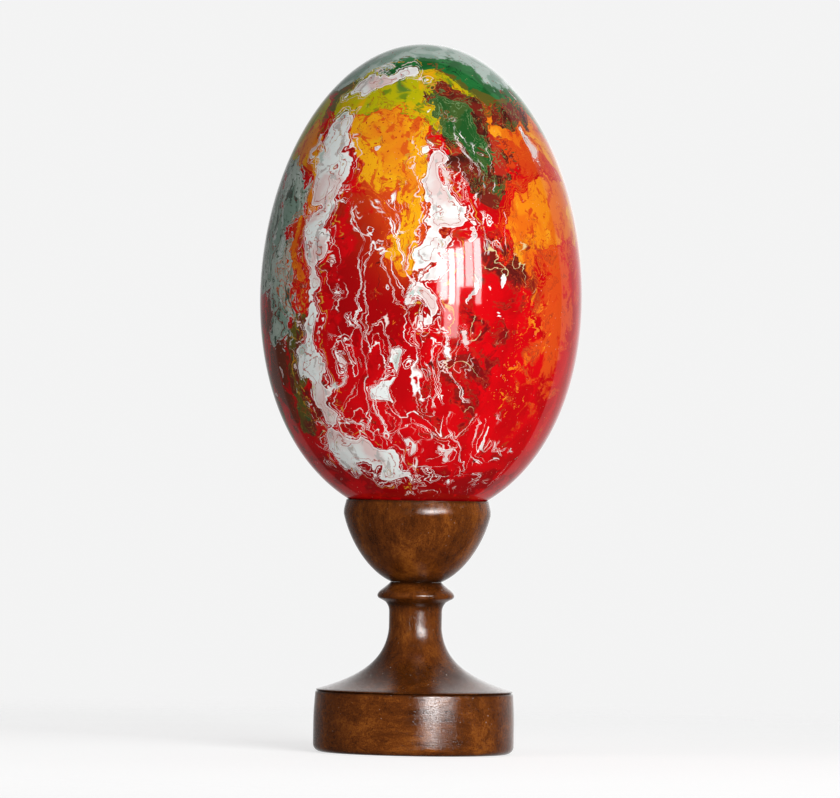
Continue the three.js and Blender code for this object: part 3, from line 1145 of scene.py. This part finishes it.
# broad soft fills that the lacquer doesn't mirror
FILLS = ((10, 60, 0, 50, 1.3), (-80, -30, 0, 45, 0.9))
FLOOR_R = 500.0


def make_camera():
    data = bpy.data.cameras.new("camera")
    data.lens = LENS
    data.sensor_width = 36.0
    data.clip_end = 50.0
    camera = bpy.data.objects.new("camera", data)
    bpy.context.scene.collection.objects.link(camera)
    camera.location = (AIM_ACROSS, -CAMERA_DISTANCE, EYE_HEIGHT)
    tilt = math.atan2(AIM_HEIGHT - EYE_HEIGHT, CAMERA_DISTANCE)
    camera.rotation_mode = "XYZ"
    camera.rotation_euler = (math.pi / 2 + tilt, -ROLL, 0.0)
    bpy.context.scene.camera = camera


def area_light(name, a0, a1, e0, e1, radiance):
    """A rectangle of light that fills a span of azimuth and elevation seen from the egg."""
    a = math.radians((a0 + a1) / 2)
    e = math.radians((e0 + e1) / 2)
    direction = np.array([math.sin(a) * math.cos(e), -math.cos(a) * math.cos(e), math.sin(e)])
    data = bpy.data.lights.new(name, "AREA")
    data.shape = "RECTANGLE"
    data.size = 2 * WINDOW_DISTANCE * math.tan(math.radians((a1 - a0) / 2)) * math.cos(e)
    data.size_y = 2 * WINDOW_DISTANCE * math.tan(math.radians((e1 - e0) / 2))
    data.energy = radiance * math.pi * data.size * data.size_y
    light = bpy.data.objects.new(name, data)
    light.location = (direction * WINDOW_DISTANCE + (0, 0, EGG_MIDDLE)).tolist()
    light.rotation_mode = "XYZ"
    light.rotation_euler = (math.pi / 2 - e, 0.0, a)
    light.visible_camera = False
    bpy.context.scene.collection.objects.link(light)
    return light


def make_lights():
    for k, pane in enumerate(WINDOW_PANES):
        area_light(f"window_{k}", *pane)
    for k, span in enumerate(FILLS):
        area_light(f"fill_{k}", *span).visible_glossy = False


def make_world():
    """A dim room in front and a bright white sweep behind and above the object."""
    world = bpy.data.worlds.new("studio")
    bpy.context.scene.world = world
    world.use_nodes = True
    world.node_tree.nodes.clear()
    n = Nodes(world.node_tree)
    way = n.new("ShaderNodeTexCoord").outputs["Generated"]
    dot = {0: way, 1: (0.096, 1.0, 0.20)}
    lean = n.new("ShaderNodeVectorMath", dot, operation="DOT_PRODUCT").outputs["Value"]
    bright = n.step(lean, 0.585, 0.605)
    rise = n.math("POWER", n.math("MAXIMUM", lean, 0.0), 14.0)
    sweep = n.math("MULTIPLY_ADD", rise, 0.70, 0.30)
    # darker on the left
    sweep = n.math("MULTIPLY", sweep, n.step(n.axis(way, 0), -0.40, 0.05, 0.40, 1.0))
    level = n.math("MULTIPLY_ADD", bright, sweep, 0.045)
    seen = n.new("ShaderNodeLightPath").outputs["Is Camera Ray"]
    unseen = n.math("MULTIPLY", level, n.math("SUBTRACT", 1.0, seen))
    strength = n.math("ADD", unseen, n.math("MULTIPLY", seen, BACKGROUND))
    back = n.new("ShaderNodeBackground", {"Color": (1, 1, 1), "Strength": strength})
    n.new("ShaderNodeOutputWorld", {"Surface": back.outputs[0]})


def make_floor():
    """A plain pale floor that fades into the background far from the object."""
    made = bpy.data.materials.new("floor")
    made.use_nodes = True
    made.node_tree.nodes.clear()
    n = Nodes(made.node_tree)
    reach = n.length(n.new("ShaderNodeTexCoord").outputs["Object"])
    diffuse = n.new("ShaderNodeBsdfDiffuse", {"Color": (0.55, 0.55, 0.55)})
    seen = n.new("ShaderNodeLightPath").outputs["Is Camera Ray"]
    strength = n.math("MULTIPLY_ADD", seen, 0.44, 0.22)
    glow = n.new("ShaderNodeEmission", {"Color": (1, 1, 1), "Strength": strength})
    surface = n.new("ShaderNodeAddShader", {0: diffuse.outputs[0], 1: glow.outputs[0]})
    clear = n.new("ShaderNodeBsdfTransparent")
    fade = n.step(reach, 0.12, 0.42)
    blend = n.new("ShaderNodeMixShader", {0: fade, 1: surface.outputs[0], 2: clear.outputs[0]})
    n.new("ShaderNodeOutputMaterial", {"Surface": blend.outputs[0]})
    count = 64
    verts = [(0, 0, 0)]
    verts += [(FLOOR_R * math.sin(a), -FLOOR_R * math.cos(a), 0) for a in even_angles(count)]
    faces = [(0, 1 + i, 1 + (i + 1) % count) for i in range(count)]
    floor = mesh_object("floor", verts, faces, [made])
    # just under the base, so that the two don't share a plane
    floor.location.z = -0.05 * MM
    floor.visible_glossy = False


def main():
    make_camera()
    make_lights()
    make_world()
    make_floor()
    bpy.context.scene.view_settings.view_transform = "Standard"
    turned = wood_material("stained_lacquered", STAINED, 1.0, (0, 0, 0), dust=0.8, shade_bands=PEDESTAL_SHADE_BANDS)
    cup_wood = wood_material("stained_cup", STAINED, 0.9, CUP_GRAIN, dust=0.6, shade_bands=CUP_SHADE_BANDS)
    base_wood = wood_material("stained_base", STAINED, 1.0, BASE_GRAIN, LEVEL, dust=0.8, shade_bands=BASE_SHADE_BANDS)
    seat = wood_material("stained_seat", STAINED, 0.15, CUP_GRAIN, rough=0.6)
    underside = wood_material("stained_underside", STAINED, 0.0, BASE_GRAIN, LEVEL, rough=0.7, tool=0.8)
    birch = wood_material("birch_bare", BIRCH, 0.0, (7, 3, 9), rough=0.66)
    pieces = (
        (make_egg(marbled_lacquer(), birch), "egg", "egg", "marbled_lacquer"),
        (make_cup(cup_wood, seat), "stand", "cup", "stand_wood"),
        (make_pedestal(turned), "stand", "pedestal", "stand_wood"),
        (make_base(base_wood, underside), "stand", "base", "stand_wood"),
        (make_peg(birch), "peg", "egg_peg", "peg_wood"),
    )
    for piece, body, node, slot in pieces:
        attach(piece, body)
        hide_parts(node)


main()
